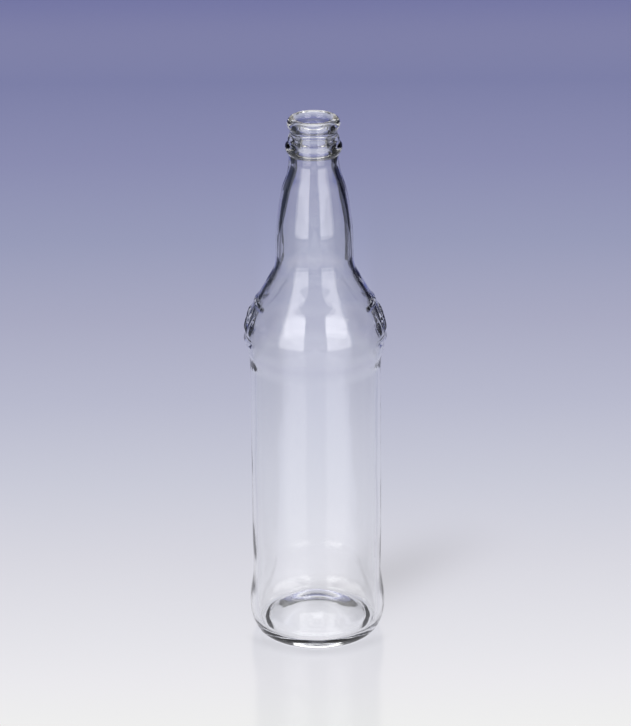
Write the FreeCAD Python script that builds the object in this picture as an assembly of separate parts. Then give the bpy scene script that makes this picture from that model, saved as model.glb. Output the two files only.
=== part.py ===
import FreeCAD, Part
import math
import os

# Empty glass bottle with a crown-cork finish, one solid of revolution with two
# raised panels on its shoulder.  Millimetres, +Z up, origin at the centre of
# the base, on the plane that the bottle stands on.

# ---------------------------------------------------------------- sizes -----
HEIGHT = 280.0            # overall height

# base and heel
BEARING_IN_R = 27.4       # flat standing ring, inner edge
BEARING_OUT_R = 29.2      # flat standing ring, outer edge
HEEL_R = 35.1             # widest radius of the heel bulge
HEEL_Z = 13.6             # height of the heel bulge
WAIST_R = 33.2            # slight waist above the heel
WAIST_Z = 34.5

# recessed label panel
PANEL_R = 33.5
PANEL_LOW_Z = 55.0
PANEL_HIGH_Z = 148.0

# shoulder and cone
SHOULDER_R = 35.85        # widest radius of the bottle
SHOULDER_Z = 164.0
CONE_LOW_R, CONE_LOW_Z = 31.0, 181.5
CONE_HIGH_R, CONE_HIGH_Z = 25.3, 191.65
CONE_SLOPE = -0.53        # dr/dz where the cone meets its two curves

# neck: a short cylindrical length that rounds into a long taper
NECK_LOW_R, NECK_LOW_Z = 19.7, 207.8
NECK_HIGH_R, NECK_HIGH_Z = 19.65, 213.0
TAPER_LOW_R, TAPER_LOW_Z = 16.9, 239.75
TAPER_SLOPE = -0.187
TAPER_HIGH_R, TAPER_HIGH_Z = 13.06, 253.8

# crown finish, heights measured down from the top rim
RING_R = 14.38            # reinforcing ring under the finish
RING_DOWN = 15.0
RING_FOOT_DOWN = 18.25
RING_STEP = 1.65          # how far the ring stands out of the neck
BAND_R = 13.0             # plain band between ring and lip
BAND_DOWN = 11.6
GROOVE_R = 12.0           # groove that the crown skirt bends into
GROOVE_DOWN = 7.1
LIP_R = 13.3              # crown locking lip
LIP_DOWN = 3.2
RIM_OUT_R = 11.0          # narrow flat crest of the rounded rim, outer and inner edge
RIM_IN_R = 10.4
BORE_R = 8.4              # bore of the mouth at the end of its rounded edge
BORE_ROUND = 3.2          # depth of the bore's rounded edge
BORE_MID_R = 8.3          # narrowest bore
BORE_MID_DOWN = 8.0
BORE_LOW_R = 9.4          # bore at the foot of the finish
BORE_LOW_DOWN = 20.0

# wall thickness, measured level, at the height named
WALL_TAPER_HIGH = 3.2
WALL_TAPER_LOW = 3.05
WALL_NECK = 2.9
WALL_CONE = 3.2
WALL_SHOULDER = 2.8
WALL_PANEL = 2.8
WALL_WAIST = 3.0
WALL_HEEL = 3.4

# inside of the base: a rounded corner round a low dome
INNER_HEEL_Z = 14.0
CORNER_R, CORNER_Z = 29.6, 6.0
DOME_SIDE_R, DOME_SIDE_Z = 22.0, 9.6
DOME_SIDE_RUN = (-1.0, 0.6)
DOME_TOP_Z = 14.5

# underside of the dome
UNDER_SIDE_R, UNDER_SIDE_Z = 21.0, 5.2
UNDER_SIDE_RUN = (1.0, -0.4)
UNDER_TOP_Z = 10.5

# raised panels on the shoulder, one facing +X and one facing -X:
# a row of upright lozenges between two level bars
RELIEF = 0.8              # how far they stand out, measured level
RELIEF_ROOT = 0.6         # how far they reach into the wall
LOZENGE_COUNT = 5
LOZENGE_W = 4.6
LOZENGE_PITCH = 6.3
LOZENGE_H = (12.0, 14.0, 15.0, 14.0, 12.0)
LOZENGE_MID_Z = 172.6
BAR_W, BAR_H = 30.0, 1.7
BAR_LOW_Z, BAR_HIGH_Z = 162.6, 182.6

UP = (0.0, 1.0)
OUT = (1.0, 0.0)
IN = (-1.0, 0.0)
DOWN = (0.0, -1.0)


def curve(p0, d0, p1, d1, k0=0.5, k1=0.5):
    """Cubic edge in the XZ plane from p0 to p1, leaving along d0 and arriving
    along d1.  Each handle is k times the chord measured along its direction,
    so k = 0.55 between two square directions is a quarter ellipse."""
    n0 = math.hypot(*d0)
    n1 = math.hypot(*d1)
    d0 = (d0[0] / n0, d0[1] / n0)
    d1 = (d1[0] / n1, d1[1] / n1)
    c = (p1[0] - p0[0], p1[1] - p0[1])
    h0 = k0 * abs(c[0] * d0[0] + c[1] * d0[1])
    h1 = k1 * abs(c[0] * d1[0] + c[1] * d1[1])
    poles = [
        FreeCAD.Vector(p0[0], 0, p0[1]),
        FreeCAD.Vector(p0[0] + d0[0] * h0, 0, p0[1] + d0[1] * h0),
        FreeCAD.Vector(p1[0] - d1[0] * h1, 0, p1[1] - d1[1] * h1),
        FreeCAD.Vector(p1[0], 0, p1[1]),
    ]
    b = Part.BezierCurve()
    b.setPoles(poles)
    return b.toShape()


def line(p0, p1):
    return Part.LineSegment(FreeCAD.Vector(p0[0], 0, p0[1]),
                            FreeCAD.Vector(p1[0], 0, p1[1])).toShape()


def shoulder_edges(grow=0.0):
    """The outer wall from the top of the label panel to the foot of the neck,
    moved outwards by grow."""
    cone = (CONE_SLOPE, 1.0)
    neck = (NECK_HIGH_R - NECK_LOW_R, NECK_HIGH_Z - NECK_LOW_Z)
    g = grow
    return [
        curve((PANEL_R + g, PANEL_HIGH_Z), UP, (SHOULDER_R + g, SHOULDER_Z), UP, 0.45, 0.5),
        curve((SHOULDER_R + g, SHOULDER_Z), UP, (CONE_LOW_R + g, CONE_LOW_Z), cone, 0.39, 0.39),
        curve((CONE_LOW_R + g, CONE_LOW_Z), cone, (CONE_HIGH_R + g, CONE_HIGH_Z), cone),
        curve((CONE_HIGH_R + g, CONE_HIGH_Z), cone, (NECK_LOW_R + g, NECK_LOW_Z), neck),
    ]


def outer_edges():
    taper = (TAPER_SLOPE, 1.0)
    neck = (NECK_HIGH_R - NECK_LOW_R, NECK_HIGH_Z - NECK_LOW_Z)
    foot = (RING_R - RING_STEP, HEIGHT - RING_FOOT_DOWN)
    edges = [
        line((BEARING_IN_R, 0), (BEARING_OUT_R, 0)),
        curve((BEARING_OUT_R, 0), OUT, (HEEL_R, HEEL_Z), UP, 0.5, 0.5),
        curve((HEEL_R, HEEL_Z), UP, (WAIST_R, WAIST_Z), UP, 0.45, 0.45),
        curve((WAIST_R, WAIST_Z), UP, (PANEL_R, PANEL_LOW_Z), UP),
        line((PANEL_R, PANEL_LOW_Z), (PANEL_R, PANEL_HIGH_Z)),
    ]
    edges += shoulder_edges()
    edges += [
        line((NECK_LOW_R, NECK_LOW_Z), (NECK_HIGH_R, NECK_HIGH_Z)),
        curve((NECK_HIGH_R, NECK_HIGH_Z), neck, (TAPER_LOW_R, TAPER_LOW_Z), taper, 0.36, 0.36),
        curve((TAPER_LOW_R, TAPER_LOW_Z), taper, (TAPER_HIGH_R, TAPER_HIGH_Z), taper),
        curve((TAPER_HIGH_R, TAPER_HIGH_Z), taper, foot, UP),
        curve(foot, OUT, (RING_R, HEIGHT - RING_DOWN), UP, 0.55, 0.55),
        curve((RING_R, HEIGHT - RING_DOWN), UP, (BAND_R, HEIGHT - BAND_DOWN), UP),
        curve((BAND_R, HEIGHT - BAND_DOWN), UP, (GROOVE_R, HEIGHT - GROOVE_DOWN), UP),
        curve((GROOVE_R, HEIGHT - GROOVE_DOWN), UP, (LIP_R, HEIGHT - LIP_DOWN), UP, 0.55, 0.55),
        curve((LIP_R, HEIGHT - LIP_DOWN), UP, (RIM_OUT_R, HEIGHT), IN, 0.55, 0.55),
    ]
    return edges


def inner_edges():
    """The inside, from the rim down to the middle of the dome."""
    taper = (-TAPER_SLOPE, -1.0)
    cone = (-CONE_SLOPE, -1.0)
    neck = (NECK_LOW_R - NECK_HIGH_R, NECK_LOW_Z - NECK_HIGH_Z)
    stations = [
        ((BORE_R, HEIGHT - BORE_ROUND), DOWN),
        ((BORE_MID_R, HEIGHT - BORE_MID_DOWN), DOWN),
        ((BORE_LOW_R, HEIGHT - BORE_LOW_DOWN), (0.12, -1.0)),
        ((TAPER_HIGH_R - WALL_TAPER_HIGH, TAPER_HIGH_Z), taper),
        ((TAPER_LOW_R - WALL_TAPER_LOW, TAPER_LOW_Z), taper),
        ((NECK_HIGH_R - WALL_NECK, NECK_HIGH_Z), neck),
        ((NECK_LOW_R - WALL_NECK, NECK_LOW_Z), neck),
        ((CONE_HIGH_R - WALL_CONE, CONE_HIGH_Z), cone),
        ((CONE_LOW_R - WALL_CONE, CONE_LOW_Z), cone),
        ((SHOULDER_R - WALL_SHOULDER, SHOULDER_Z), DOWN),
        ((PANEL_R - WALL_PANEL, PANEL_HIGH_Z - 2.0), DOWN),
        ((PANEL_R - WALL_PANEL, PANEL_LOW_Z), DOWN),
        ((WAIST_R - WALL_WAIST, WAIST_Z), DOWN),
        ((HEEL_R - WALL_HEEL, INNER_HEEL_Z), DOWN),
    ]
    edges = [
        line((RIM_OUT_R, HEIGHT), (RIM_IN_R, HEIGHT)),
        curve((RIM_IN_R, HEIGHT), IN, stations[0][0], DOWN, 0.55, 0.55),
    ]
    for (p0, d0), (p1, d1) in zip(stations[:-1], stations[1:]):
        edges.append(curve(p0, d0, p1, d1, 0.42, 0.42))
    edges += [
        curve(stations[-1][0], DOWN, (CORNER_R, CORNER_Z), IN, 0.5, 0.5),
        curve((CORNER_R, CORNER_Z), IN, (DOME_SIDE_R, DOME_SIDE_Z), DOME_SIDE_RUN, 0.5, 0.5),
        curve((DOME_SIDE_R, DOME_SIDE_Z), DOME_SIDE_RUN, (0.0, DOME_TOP_Z), IN, 0.5, 0.4),
    ]
    return edges


def under_edges():
    """The underside, from the middle of the dome out to the standing ring."""
    return [
        line((0.0, DOME_TOP_Z), (0.0, UNDER_TOP_Z)),
        curve((0.0, UNDER_TOP_Z), OUT, (UNDER_SIDE_R, UNDER_SIDE_Z), UNDER_SIDE_RUN, 0.4, 0.5),
        curve((UNDER_SIDE_R, UNDER_SIDE_Z), UNDER_SIDE_RUN, (BEARING_IN_R, 0.0), (1.0, -1.0), 0.5, 0.5),
    ]


def spin(edges):
    face = Part.Face(Part.Wire(edges))
    return face.revolve(FreeCAD.Vector(0, 0, 0), FreeCAD.Vector(0, 0, 1), 360)


def prism(points, x0, x1):
    """Straight prism along X of a polygon given as (y, z) points."""
    v = [FreeCAD.Vector(x0, y, z) for y, z in points]
    face = Part.Face(Part.makePolygon(v + v[:1]))
    return face.extrude(FreeCAD.Vector(x1 - x0, 0, 0))


def relief_polygons():
    shapes = []
    for i in range(LOZENGE_COUNT):
        y = (i - (LOZENGE_COUNT - 1) / 2.0) * LOZENGE_PITCH
        h = LOZENGE_H[i] / 2.0
        w = LOZENGE_W / 2.0
        shapes.append([(y - w, LOZENGE_MID_Z), (y, LOZENGE_MID_Z - h),
                       (y + w, LOZENGE_MID_Z), (y, LOZENGE_MID_Z + h)])
    for z in (BAR_LOW_Z, BAR_HIGH_Z):
        a, b = BAR_W / 2.0, BAR_H / 2.0
        shapes.append([(-a, z - b), (a, z - b), (a, z + b), (-a, z + b)])
    return shapes


# ------------------------------------------------------------- the body -----
body = spin(outer_edges() + inner_edges() + under_edges())

# --------------------------------------------------- the raised panels -----
neck_in = 12.0
far = shoulder_edges(RELIEF)
near = shoulder_edges(-RELIEF_ROOT)
low_out = (PANEL_R + RELIEF, PANEL_HIGH_Z)
low_in = (PANEL_R - RELIEF_ROOT, PANEL_HIGH_Z)
high_out = (NECK_LOW_R + RELIEF, NECK_LOW_Z)
high_in = (NECK_LOW_R - RELIEF_ROOT, NECK_LOW_Z)
skin = spin(far + [line(high_out, high_in)] + near[::-1] + [line(low_in, low_out)])

for side in (1.0, -1.0):
    for poly in relief_polygons():
        piece = skin.common(prism(poly, side * neck_in, side * 45.0))
        body = body.fuse(piece)

solid = body.Solids[0] if len(body.Solids) == 1 else body
solid = Part.Solid(solid) if solid.ShapeType != "Solid" else solid

print("solids", len(body.Solids), "valid", solid.isValid(),
      "volume_mm3", round(solid.Volume, 1),
      "weight_g", round(solid.Volume * 2.5e-3, 1),
      "box", [round(v, 3) for v in (solid.BoundBox.XLength, solid.BoundBox.YLength, solid.BoundBox.ZLength)])

os.makedirs("parts", exist_ok=True)
solid.exportStep("parts/bottle.step")
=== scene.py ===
import bpy
import math
from mathutils import Matrix, Vector, noise


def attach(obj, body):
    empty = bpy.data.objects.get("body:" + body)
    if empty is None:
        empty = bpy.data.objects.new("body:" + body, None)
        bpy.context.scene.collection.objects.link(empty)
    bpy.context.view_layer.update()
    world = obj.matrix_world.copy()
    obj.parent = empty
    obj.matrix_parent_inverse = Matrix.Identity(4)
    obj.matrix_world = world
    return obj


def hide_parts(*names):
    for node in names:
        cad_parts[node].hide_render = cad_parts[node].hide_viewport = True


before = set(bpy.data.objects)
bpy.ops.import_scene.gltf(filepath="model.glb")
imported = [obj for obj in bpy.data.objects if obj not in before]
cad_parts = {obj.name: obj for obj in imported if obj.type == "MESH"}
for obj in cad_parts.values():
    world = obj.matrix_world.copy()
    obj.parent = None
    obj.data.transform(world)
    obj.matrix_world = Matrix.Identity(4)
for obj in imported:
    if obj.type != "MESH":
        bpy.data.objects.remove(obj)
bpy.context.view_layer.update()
MM = 0.001

# ------------------------------------------------------------------ profile --
# The same stations as the CAD solid, in millimetres.
HEIGHT = 280.0
PANEL_R, PANEL_LOW_Z, PANEL_HIGH_Z = 33.5, 55.0, 148.0
SHOULDER_R, SHOULDER_Z = 35.85, 164.0
HEEL_R, HEEL_Z = 35.1, 13.6
WAIST_R, WAIST_Z = 33.2, 34.5
CONE_LOW, CONE_HIGH, CONE = (31.0, 181.5), (25.3, 191.65), (-0.53, 1.0)
NECK_LOW, NECK_HIGH = (19.7, 207.8), (19.65, 213.0)
TAPER_LOW, TAPER_HIGH, TAPER = (16.9, 239.75), (13.06, 253.8), (-0.187, 1.0)
RING_R, BAND_R, GROOVE_R, LIP_R = 14.38, 13.0, 12.0, 13.3
UP, OUT, IN, DOWN = (0.0, 1.0), (1.0, 0.0), (-1.0, 0.0), (0.0, -1.0)
STAND = (27.4, 29.2, 0.5, 0.5)
# inside floor from the heel to the middle, and its underside from the middle out
FLOOR_IN = [((31.7, 14.0), DOWN, 0.5), ((29.6, 6.0), IN, 0.5), ((22.0, 9.6), (-1.0, 0.6), 0.5),
            ((0.0, 14.5), IN, 0.4)]
FLOOR_UNDER = [((0.0, 10.5), OUT, 0.4), ((21.0, 5.2), (1.0, -0.4), 0.5), ((27.4, 0.0), (1.0, -1.0), 0.5)]


def curve(p0, d0, p1, d1, k0=0.5, k1=0.5, step=1.2, least=3):
    """Points of a cubic from p0 to just before p1, about step millimetres apart."""
    n0, n1 = math.hypot(*d0), math.hypot(*d1)
    d0, d1 = (d0[0] / n0, d0[1] / n0), (d1[0] / n1, d1[1] / n1)
    cx, cz = p1[0] - p0[0], p1[1] - p0[1]
    h0 = k0 * abs(cx * d0[0] + cz * d0[1])
    h1 = k1 * abs(cx * d1[0] + cz * d1[1])
    a = (p0[0] + d0[0] * h0, p0[1] + d0[1] * h0)
    b = (p1[0] - d1[0] * h1, p1[1] - d1[1] * h1)
    n = max(least, int(round(math.hypot(cx, cz) / step)))
    out = []
    for i in range(n):
        t = i / n
        u = 1 - t
        out.append((u ** 3 * p0[0] + 3 * u * u * t * a[0] + 3 * u * t * t * b[0] + t ** 3 * p1[0],
                    u ** 3 * p0[1] + 3 * u * u * t * a[1] + 3 * u * t * t * b[1] + t ** 3 * p1[1]))
    return out


def outer_profile():
    neck = (NECK_HIGH[0] - NECK_LOW[0], NECK_HIGH[1] - NECK_LOW[1])
    foot = (RING_R - 1.65, HEIGHT - 18.25)
    p = []
    p += curve((STAND[0], 0), OUT, (STAND[1], 0), OUT, step=0.9)
    p += curve((STAND[1], 0), OUT, (HEEL_R, HEEL_Z), UP, STAND[2], STAND[3], step=0.7)
    p += curve((HEEL_R, HEEL_Z), UP, (WAIST_R, WAIST_Z), UP, 0.45, 0.45, step=1.2)
    p += curve((WAIST_R, WAIST_Z), UP, (PANEL_R, PANEL_LOW_Z), UP, step=2.0)
    p += curve((PANEL_R, PANEL_LOW_Z), UP, (PANEL_R, PANEL_HIGH_Z), UP, step=3.0)
    p += curve((PANEL_R, PANEL_HIGH_Z), UP, (SHOULDER_R, SHOULDER_Z), UP, 0.45, 0.5, step=0.8)
    p += curve((SHOULDER_R, SHOULDER_Z), UP, CONE_LOW, CONE, 0.39, 0.39, step=0.5)
    p += curve(CONE_LOW, CONE, CONE_HIGH, CONE, step=0.6)
    p += curve(CONE_HIGH, CONE, NECK_LOW, neck, step=1.0)
    p += curve(NECK_LOW, neck, NECK_HIGH, neck, step=2.2)
    p += curve(NECK_HIGH, neck, TAPER_LOW, TAPER, 0.36, 0.36, step=1.2)
    p += curve(TAPER_LOW, TAPER, TAPER_HIGH, TAPER, step=1.7)
    p += curve(TAPER_HIGH, TAPER, foot, UP, step=0.8)
    p += curve(foot, OUT, (RING_R, HEIGHT - 15.0), UP, 0.55, 0.55, step=0.3)
    p += curve((RING_R, HEIGHT - 15.0), UP, (BAND_R, HEIGHT - 11.6), UP, step=0.35)
    p += curve((BAND_R, HEIGHT - 11.6), UP, (GROOVE_R, HEIGHT - 7.1), UP, step=0.4)
    p += curve((GROOVE_R, HEIGHT - 7.1), UP, (LIP_R, HEIGHT - 3.2), UP, 0.55, 0.55, step=0.35)
    p += curve((LIP_R, HEIGHT - 3.2), UP, (11.0, HEIGHT), IN, 0.55, 0.55, step=0.25)
    p += curve((11.0, HEIGHT), IN, (10.4, HEIGHT), IN, step=0.5, least=2)
    return p


def inner_profile():
    taper, cone = (-TAPER[0], -1.0), (-CONE[0], -1.0)
    neck = (NECK_LOW[0] - NECK_HIGH[0], NECK_LOW[1] - NECK_HIGH[1])
    st = [
        ((8.4, HEIGHT - 3.2), DOWN, 1.0),
        ((8.3, HEIGHT - 8.0), DOWN, 0.9),
        ((9.4, HEIGHT - 20.0), (0.12, -1.0), 0.8),
        ((TAPER_HIGH[0] - 3.2, TAPER_HIGH[1]), taper, 1.7),
        ((TAPER_LOW[0] - 3.05, TAPER_LOW[1]), taper, 1.5),
        ((NECK_HIGH[0] - 2.9, NECK_HIGH[1]), neck, 2.4),
        ((NECK_LOW[0] - 2.9, NECK_LOW[1]), neck, 1.3),
        ((CONE_HIGH[0] - 3.2, CONE_HIGH[1]), cone, 1.3),
        ((CONE_LOW[0] - 3.2, CONE_LOW[1]), cone, 1.1),
        ((SHOULDER_R - 2.8, SHOULDER_Z), DOWN, 0.9),
        ((PANEL_R - 2.8, PANEL_HIGH_Z - 2.0), DOWN, 3.2),
        ((PANEL_R - 2.8, PANEL_LOW_Z), DOWN, 2.0),
        ((WAIST_R - 3.0, WAIST_Z), DOWN, 1.4),
        (FLOOR_IN[0][0], DOWN, 0.7),
    ]
    p = curve((10.4, HEIGHT), IN, st[0][0], DOWN, 0.55, 0.55, step=0.3)
    for (a, da, s), (b, db, _) in zip(st[:-1], st[1:]):
        p += curve(a, da, b, db, 0.42, 0.42, step=s)
    for (a, da, ka), (b, db, kb) in zip(FLOOR_IN[:-1], FLOOR_IN[1:]):
        p += curve(a, da, b, db, ka, kb, step=0.5 if a[0] > 15 else 1.2)
    return p                       # the middle point follows as a single vertex


def under_profile():
    """From just outside the middle to the inner edge of the standing ring."""
    p = []
    for (a, da, ka), (b, db, kb) in zip(FLOOR_UNDER[:-1], FLOOR_UNDER[1:]):
        p += curve(a, da, b, db, ka, kb, step=0.5 if a[0] > 12 else 1.2)
    return p[1:]


# ------------------------------------------------------- raised shoulder row --
LOZENGES = [((i - 2) * 6.3, h) for i, h in enumerate((12.0, 14.0, 15.0, 14.0, 12.0))]


def relief(y, z):
    """Height in millimetres of the raised lozenges and bars at (y, z)."""
    best = -9.0
    for cy, h in LOZENGES:
        best = max(best, (1.0 - abs(y - cy) / 2.3 - abs(z - 172.6) / (h / 2)) * 2.2)
    for zb in (162.6, 182.6):
        best = max(best, min(0.85 - abs(z - zb), 15.0 - abs(y)))
    t = min(1.0, max(0.0, best / 0.75))
    return 0.78 * t * t * (3 - 2 * t)


# --------------------------------------------------------------- the bottle --
def azimuths():
    """Finer where the raised rows are, coarser elsewhere."""
    out, a = [], 0.0
    while a < 359.999:
        out.append(a)
        near = min(abs(((a - c + 180) % 360) - 180) for c in (0.0, 180.0))
        a += 1.25 if near < 27.0 else 3.0
    return [math.radians(v) for v in out]


def make_bottle():
    az = azimuths()
    n = len(az)
    outer, inner, under = outer_profile(), inner_profile(), under_profile()
    verts, rings = [], []

    def ring(r, z, which):
        start = len(verts)
        for a in az:
            rr, zz = r, z
            c, s = math.cos(a), math.sin(a)
            if which == "outer":
                if 160.0 < z < 186.0 and abs(c) > 0.7:
                    rr += relief(r * s, z)
                # very slight unevenness of blown glass
                if z > 3.0 and z < 258.0:
                    rr += 0.035 * noise.noise(Vector((c * 1.6, s * 1.6, z * 0.018)))
                # the widest part stays inside the faceted box of the solid
                rr -= 0.05 * min(1.0, max(0.0, (z - 100.0) / 30.0)) * min(1.0, max(0.0, (210.0 - z) / 25.0))
            elif which == "inner":
                w = min(1.0, max(0.0, (z - 24.0) / 20.0)) * min(1.0, max(0.0, (262.0 - z) / 15.0))
                rr += w * (0.20 * noise.noise(Vector((c * 1.3 + 7.0, s * 1.3, z * 0.016)))
                           + 0.06 * noise.noise(Vector((c * 4.0, s * 4.0 + 3.0, z * 0.05))))
                if z < 24.0:
                    zz += 0.25 * noise.noise(Vector((rr * c * 0.06, rr * s * 0.06, 4.0)))
            verts.append((rr * c * MM, rr * s * MM, zz * MM))
        rings.append(start)

    for r, z in outer:
        ring(r, z, "outer")
    for r, z in inner:
        ring(r, z, "inner")
    apex_in = len(verts)
    verts.append((0.0, 0.0, FLOOR_IN[-1][0][1] * MM))
    first_under = len(rings)
    for r, z in under:
        ring(r, z, "under")
    apex_under = len(verts)
    verts.append((0.0, 0.0, FLOOR_UNDER[0][0][1] * MM))

    faces = []

    def band(a, b):
        for i in range(n):
            j = (i + 1) % n
            faces.append((a + i, a + j, b + j, b + i))

    for k in range(first_under - 1):
        band(rings[k], rings[k + 1])
    last = rings[first_under - 1]
    for i in range(n):
        faces.append((last + i, last + (i + 1) % n, apex_in))
    for k in range(first_under, len(rings) - 1):
        band(rings[k], rings[k + 1])
    band(rings[-1], rings[0])
    fu = rings[first_under]
    for i in range(n):
        faces.append((fu + (i + 1) % n, fu + i, apex_under))

    me = bpy.data.meshes.new("bottle_glass")
    me.from_pydata(verts, [], faces)
    me.validate()
    me.update()
    for p in me.polygons:
        p.use_smooth = True
    ob = bpy.data.objects.new("bottle_glass", me)
    bpy.context.scene.collection.objects.link(ob)
    print("bottle_glass triangles", sum(len(p.vertices) - 2 for p in me.polygons), "around", n)
    return ob


bottle = make_bottle()
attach(bottle, "root")
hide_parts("bottle")


# ---------------------------------------------------------------- materials --
def node(nt, kind, **values):
    nd = nt.nodes.new(kind)
    for k, v in values.items():
        setattr(nd, k, v)
    return nd


def glass_material():
    """Clear flint glass: faint ripples, slightly uneven polish, the least cast in its colour."""
    m = bpy.data.materials.new("flint_glass")
    m.use_nodes = True
    nt = m.node_tree
    nt.nodes.clear()
    out = node(nt, "ShaderNodeOutputMaterial")
    bs = node(nt, "ShaderNodeBsdfPrincipled")
    bs.inputs["Transmission Weight"].default_value = 1.0
    bs.inputs["IOR"].default_value = 1.52
    co = node(nt, "ShaderNodeTexCoord")

    def noise_tex(scale, detail, squash=1.0):
        mp = node(nt, "ShaderNodeMapping")
        mp.inputs["Scale"].default_value = (scale, scale, scale * squash)
        nt.links.new(co.outputs["Object"], mp.inputs[0])
        nz = node(nt, "ShaderNodeTexNoise")
        nz.inputs["Scale"].default_value = 1.0
        nz.inputs["Detail"].default_value = detail
        nt.links.new(mp.outputs[0], nz.inputs["Vector"])
        return nz.outputs[0]

    polish = node(nt, "ShaderNodeMapRange")
    nt.links.new(noise_tex(55.0, 3.0, 0.6), polish.inputs["Value"])
    polish.inputs["From Min"].default_value = 0.35
    polish.inputs["From Max"].default_value = 0.75
    polish.inputs["To Min"].default_value = 0.0
    polish.inputs["To Max"].default_value = 0.035
    nt.links.new(polish.outputs[0], bs.inputs["Roughness"])

    cast = node(nt, "ShaderNodeValToRGB")
    nt.links.new(noise_tex(18.0, 2.0, 0.5), cast.inputs[0])
    cast.color_ramp.elements[0].position = 0.3
    cast.color_ramp.elements[0].color = (0.978, 0.984, 0.986, 1.0)
    cast.color_ramp.elements[1].position = 0.7
    cast.color_ramp.elements[1].color = (1.0, 1.0, 1.0, 1.0)
    nt.links.new(cast.outputs[0], bs.inputs["Base Color"])

    bump = node(nt, "ShaderNodeBump")
    bump.inputs["Strength"].default_value = 0.35
    bump.inputs["Distance"].default_value = 0.00025
    nt.links.new(noise_tex(95.0, 2.5, 0.35), bump.inputs["Height"])
    nt.links.new(bump.outputs[0], bs.inputs["Normal"])
    nt.links.new(bs.outputs[0], out.inputs["Surface"])
    return m


bottle.data.materials.append(glass_material())

# -------------------------------------------------------------------- stage --
SKY = [  # distance behind the bottle in metres, linear colour
    (-0.350, (0.887, 0.890, 0.890)),
    (-0.115, (0.770, 0.775, 0.781)),
    (-0.066, (0.733, 0.730, 0.771)),
    (-0.020, (0.683, 0.685, 0.737)),
    (0.077, (0.587, 0.590, 0.664)),
    (0.184, (0.477, 0.493, 0.597)),
    (0.303, (0.365, 0.382, 0.517)),
    (0.434, (0.273, 0.287, 0.438)),
    (0.581, (0.179, 0.205, 0.374)),
    (0.746, (0.110, 0.129, 0.316)),
    (0.933, (0.051, 0.071, 0.257)),
    (1.147, (0.099, 0.109, 0.278)),
    (2.600, (0.099, 0.109, 0.243)),
]


SHADE = (0.682, 0.731)             # the way the faint painted shadow runs on the table
WEDGE = (0.115, 0.230, 0.38)       # where the glow starts and stops falling off, and what is left of it


def math_node(nt, op, a, b=None, c=None):
    nd = node(nt, "ShaderNodeMath", operation=op)
    for i, v in enumerate((a, b, c)):
        if v is None:
            continue
        if isinstance(v, (int, float)):
            nd.inputs[i].default_value = v
        else:
            nt.links.new(v, nd.inputs[i])
    return nd.outputs[0]


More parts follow.
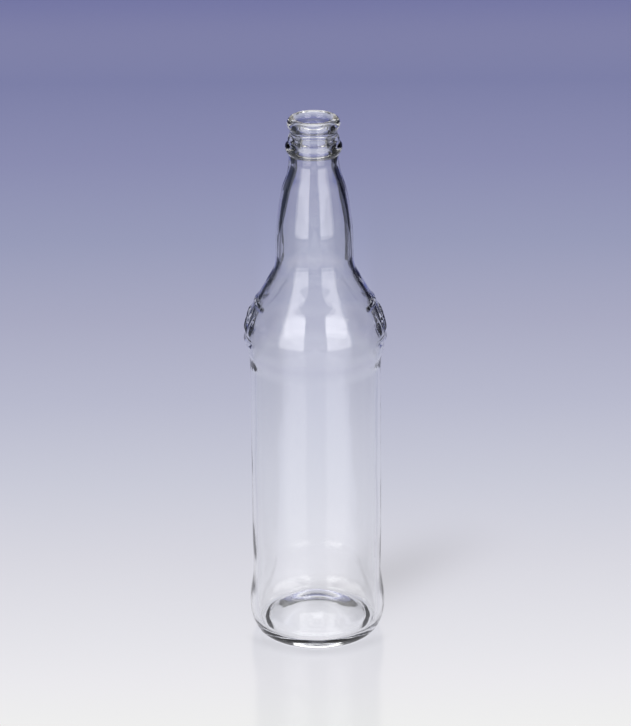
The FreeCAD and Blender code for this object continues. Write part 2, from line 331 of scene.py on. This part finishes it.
def stage_material():
    """A pale light table: it glows evenly, reflects softly, and holds one faint painted shadow, a painted contact
    shade and painted light from the glass.
    """
    m = bpy.data.materials.new("sweep")
    m.use_nodes = True
    nt = m.node_tree
    nt.nodes.clear()
    out = node(nt, "ShaderNodeOutputMaterial")
    bs = node(nt, "ShaderNodeBsdfPrincipled")
    bs.inputs["Base Color"].default_value = (0.02, 0.02, 0.02, 1.0)
    bs.inputs["Roughness"].default_value = 0.13
    bs.inputs["IOR"].default_value = 1.45
    bs.inputs["Emission Strength"].default_value = 1.0
    geo = node(nt, "ShaderNodeNewGeometry")
    sep = node(nt, "ShaderNodeSeparateXYZ")
    nt.links.new(geo.outputs["Position"], sep.inputs[0])
    x, y = sep.outputs["X"], sep.outputs["Y"]
    rng = node(nt, "ShaderNodeMapRange")
    nt.links.new(y, rng.inputs["Value"])
    rng.inputs["From Min"].default_value = SKY[0][0]
    rng.inputs["From Max"].default_value = SKY[-1][0]
    ramp = node(nt, "ShaderNodeValToRGB")
    nt.links.new(rng.outputs[0], ramp.inputs[0])
    el = ramp.color_ramp.elements
    span = SKY[-1][0] - SKY[0][0]
    while len(el) < len(SKY):
        el.new(0.5)
    for e, (d, c) in zip(el, SKY):
        e.position = (d - SKY[0][0]) / span
        e.color = (*c, 1.0)
    # the painted shadow lies behind the bottle to its right, along (SHADE_X, SHADE_Y)
    along = math_node(nt, "ADD", math_node(nt, "MULTIPLY", x, SHADE[0]), math_node(nt, "MULTIPLY", y, SHADE[1]))
    across = math_node(nt, "SUBTRACT", math_node(nt, "MULTIPLY", x, SHADE[1]), math_node(nt, "MULTIPLY", y, SHADE[0]))
    g = math_node(nt, "DIVIDE", math_node(nt, "ADD", across, 0.012), 0.024)
    g = math_node(nt, "EXPONENT", math_node(nt, "MULTIPLY", math_node(nt, "MULTIPLY", g, g), -1.0))
    fall = node(nt, "ShaderNodeMapRange", interpolation_type="SMOOTHSTEP")
    nt.links.new(along, fall.inputs["Value"])
    fall.inputs["From Min"].default_value = 0.060
    fall.inputs["From Max"].default_value = 0.170
    fall.inputs["To Min"].default_value = 1.0
    fall.inputs["To Max"].default_value = 0.0
    rise = node(nt, "ShaderNodeMapRange", interpolation_type="SMOOTHSTEP")
    nt.links.new(along, rise.inputs["Value"])
    rise.inputs["From Min"].default_value = -0.020
    rise.inputs["From Max"].default_value = 0.045
    painted_shadow_depth = math_node(nt, "MULTIPLY", math_node(nt, "MULTIPLY", g, fall.outputs[0]), rise.outputs[0])
    keep = math_node(nt, "SUBTRACT", 1.0, math_node(nt, "MULTIPLY", painted_shadow_depth, 0.20))
    # the glow falls off to both sides, on a wedge that widens away from the front
    side = math_node(nt, "DIVIDE", math_node(nt, "ABSOLUTE", x),
                     math_node(nt, "ADD", math_node(nt, "MULTIPLY", y, 0.93), 1.87))
    edge = node(nt, "ShaderNodeMapRange", interpolation_type="SMOOTHSTEP")
    nt.links.new(side, edge.inputs["Value"])
    edge.inputs["From Min"].default_value = WEDGE[0]
    edge.inputs["From Max"].default_value = WEDGE[1]
    edge.inputs["To Min"].default_value = 1.0
    edge.inputs["To Max"].default_value = WEDGE[2]
    keep = math_node(nt, "MULTIPLY", keep, edge.outputs[0])
    # a thin painted shade where the heel meets the table, on the side that faces the front
    r = math_node(nt, "SQRT", math_node(nt, "ADD", math_node(nt, "MULTIPLY", x, x), math_node(nt, "MULTIPLY", y, y)))
    painted_contact_shade = 1.0
    for value, lo, hi in ((r, 0.0430, 0.0335), (r, 0.0300, 0.0318), (y, -0.010, -0.024)):
        st = node(nt, "ShaderNodeMapRange", interpolation_type="SMOOTHSTEP")
        nt.links.new(value, st.inputs["Value"])
        st.inputs["From Min"].default_value = lo
        st.inputs["From Max"].default_value = hi
        painted_contact_shade = math_node(nt, "MULTIPLY", st.outputs[0], painted_contact_shade)
    keep = math_node(nt, "MULTIPLY", keep, math_node(nt, "SUBTRACT", 1.0, math_node(nt, "MULTIPLY", painted_contact_shade, 0.15)))

    # painted light in place of what the glass gathers: a painted pool under the domed base and a faint painted streak
    # behind
    def band(value, lo, hi, amount):
        nd = node(nt, "ShaderNodeMapRange", interpolation_type="SMOOTHSTEP")
        nt.links.new(value, nd.inputs["Value"])
        nd.inputs["From Min"].default_value = lo
        nd.inputs["From Max"].default_value = hi
        nd.inputs["To Min"].default_value = 0.0
        nd.inputs["To Max"].default_value = amount
        return nd.outputs[0]

    painted_pool = band(r, 0.0285, 0.0255, 0.15)
    painted_streak = math_node(nt, "MULTIPLY", band(side, 0.0178, 0.0130, 0.10),
                       math_node(nt, "MULTIPLY", band(y, 0.030, 0.060, 1.0), band(y, 0.75, 0.35, 1.0)))
    keep = math_node(nt, "MULTIPLY", keep, math_node(nt, "ADD", 1.0, math_node(nt, "ADD", painted_pool, painted_streak)))
    mix = node(nt, "ShaderNodeVectorMath", operation="SCALE")
    nt.links.new(ramp.outputs[0], mix.inputs[0])
    nt.links.new(keep, mix.inputs["Scale"])
    nt.links.new(mix.outputs[0], bs.inputs["Emission Color"])
    nt.links.new(bs.outputs[0], out.inputs["Surface"])
    return m


def make_stage():
    prof = [(0.0, 0.0), (0.15, 0.0), (0.4, 0.0), (0.8, 0.0), (1.3, 0.0), (1.8, 0.0)]
    for i in range(1, 13):
        a = math.radians(90 * i / 12)
        prof.append((1.8 + 0.8 * math.sin(a), 0.8 * 0.45 * (1 - math.cos(a))))
    prof.append((2.6, 0.62))
    n = 96
    verts = [(0, 0, 0)]
    for r, z in prof[1:]:
        for i in range(n):
            a = 2 * math.pi * i / n
            verts.append((r * math.cos(a), r * math.sin(a), z))
    faces = [(0, 1 + i, 1 + (i + 1) % n) for i in range(n)]
    for k in range(len(prof) - 2):
        a, b = 1 + k * n, 1 + (k + 1) * n
        for i in range(n):
            j = (i + 1) % n
            faces.append((a + i, b + i, b + j, a + j))
    me = bpy.data.meshes.new("sweep")
    me.from_pydata(verts, [], faces)
    me.update()
    for p in me.polygons:
        p.use_smooth = True
    ob = bpy.data.objects.new("sweep", me)
    bpy.context.scene.collection.objects.link(ob)
    me.materials.append(stage_material())


make_stage()


def card(name, x0, x1, y, top, colour, low=0.0):
    """An upright card behind the bottle; the dark ones stand beside the view and are
    seen only through the glass."""
    me = bpy.data.meshes.new(name)
    me.from_pydata([(x0, y, low), (x1, y, low), (x1, y, top), (x0, y, top)], [], [(0, 1, 2, 3)])
    m = bpy.data.materials.new(name)
    m.use_nodes = True
    nt = m.node_tree
    nt.nodes.clear()
    em = node(nt, "ShaderNodeEmission")
    em.inputs[0].default_value = (*colour, 1.0)
    nt.links.new(em.outputs[0], node(nt, "ShaderNodeOutputMaterial").inputs["Surface"])
    me.materials.append(m)
    ob = bpy.data.objects.new(name, me)
    bpy.context.scene.collection.objects.link(ob)
    ob.visible_camera = ob.visible_diffuse = ob.visible_shadow = ob.visible_glossy = False
    return ob


card("card_left", -1.3, -0.20, 0.54, 0.5, (0.020, 0.024, 0.034))
card("card_right", 0.19, 1.3, 0.50, 0.5, (0.002, 0.002, 0.003))

# a pale card that only the gloss of the table mirrors
gloss_card = card("card_gloss", -1.6, 1.6, 2.3, 2.2, (0.78, 0.73, 0.65), 0.36)
gloss_card.visible_glossy, gloss_card.visible_transmission = True, False

# ------------------------------------------------------------------- lights --
FILL = 0.90


def make_world():
    """Dim room, paler in front of the bottle than behind it."""
    world = bpy.data.worlds.new("studio")
    bpy.context.scene.world = world
    world.use_nodes = True
    nt = world.node_tree
    bg = nt.nodes["Background"]
    co = node(nt, "ShaderNodeTexCoord")
    sep = node(nt, "ShaderNodeSeparateXYZ")
    nt.links.new(co.outputs["Generated"], sep.inputs[0])
    rng = node(nt, "ShaderNodeMapRange", interpolation_type="SMOOTHSTEP")
    nt.links.new(sep.outputs["Y"], rng.inputs["Value"])
    rng.inputs["From Min"].default_value = 0.05
    rng.inputs["From Max"].default_value = -0.55
    rng.inputs["To Min"].default_value = 0.015
    rng.inputs["To Max"].default_value = FILL
    bg.inputs[0].default_value = (0.97, 0.98, 1.0, 1.0)
    nt.links.new(rng.outputs[0], bg.inputs[1])


make_world()


def softbox(name, size_x, size_y, radiance, place, target, colour=(1, 1, 1)):
    li = bpy.data.lights.new(name, "AREA")
    li.shape = "RECTANGLE"
    li.size, li.size_y = size_x, size_y
    li.energy = radiance * math.pi * size_x * size_y
    li.color = colour
    ob = bpy.data.objects.new(name, li)
    bpy.context.scene.collection.objects.link(ob)
    ob.location = place
    ob.rotation_mode = "QUATERNION"
    ob.rotation_quaternion = (Vector(target) - Vector(place)).to_track_quat("-Z", "Y")
    ob.visible_camera = False
    return ob


softbox("overhead", 1.8, 1.8, 2.2, (0, 0, 2.2), (0, 0, 0))
for side, strength in ((-1, 2.35), (1, 2.15)):
    a = math.radians(39.5)
    d = 0.95
    softbox("box_left" if side < 0 else "box_right", 0.73, 0.84, strength,
            (side * d * math.sin(a), -d * math.cos(a), 0.43), (0, 0, 0.43), (1.0, 0.985, 0.965))

# ------------------------------------------------------------------- camera --
ELEV = math.radians(22.21)
DIST = 1.866
AIM_Z = 0.14775
F_PX = 3649.0
cam = bpy.data.cameras.new("camera")
cam.sensor_fit = "AUTO"
cam.sensor_width = 36.0
cam.lens = F_PX * 36.0 / 726.0
cam.clip_start, cam.clip_end = 0.05, 20.0
cam_ob = bpy.data.objects.new("camera", cam)
bpy.context.scene.collection.objects.link(cam_ob)
back = Vector((0, -math.cos(ELEV), math.sin(ELEV)))
cam_ob.location = Vector((0, 0, AIM_Z)) + back * DIST
rot = (-back).to_track_quat("-Z", "Y").to_matrix()
rot = rot @ Matrix.Rotation(math.radians(-0.48), 3, "Z")
cam_ob.rotation_mode = "QUATERNION"
cam_ob.rotation_quaternion = rot.to_quaternion()
bpy.context.scene.camera = cam_ob

# ------------------------------------------------------------------ quality --
sc = bpy.context.scene
sc.view_settings.view_transform = "Standard"
sc.cycles.max_bounces = 24
sc.cycles.transmission_bounces = 24
sc.cycles.glossy_bounces = 8
sc.cycles.diffuse_bounces = 3
sc.cycles.transparent_max_bounces = 8
sc.cycles.sample_clamp_indirect = 8.0
sc.cycles.blur_glossy = 0.3
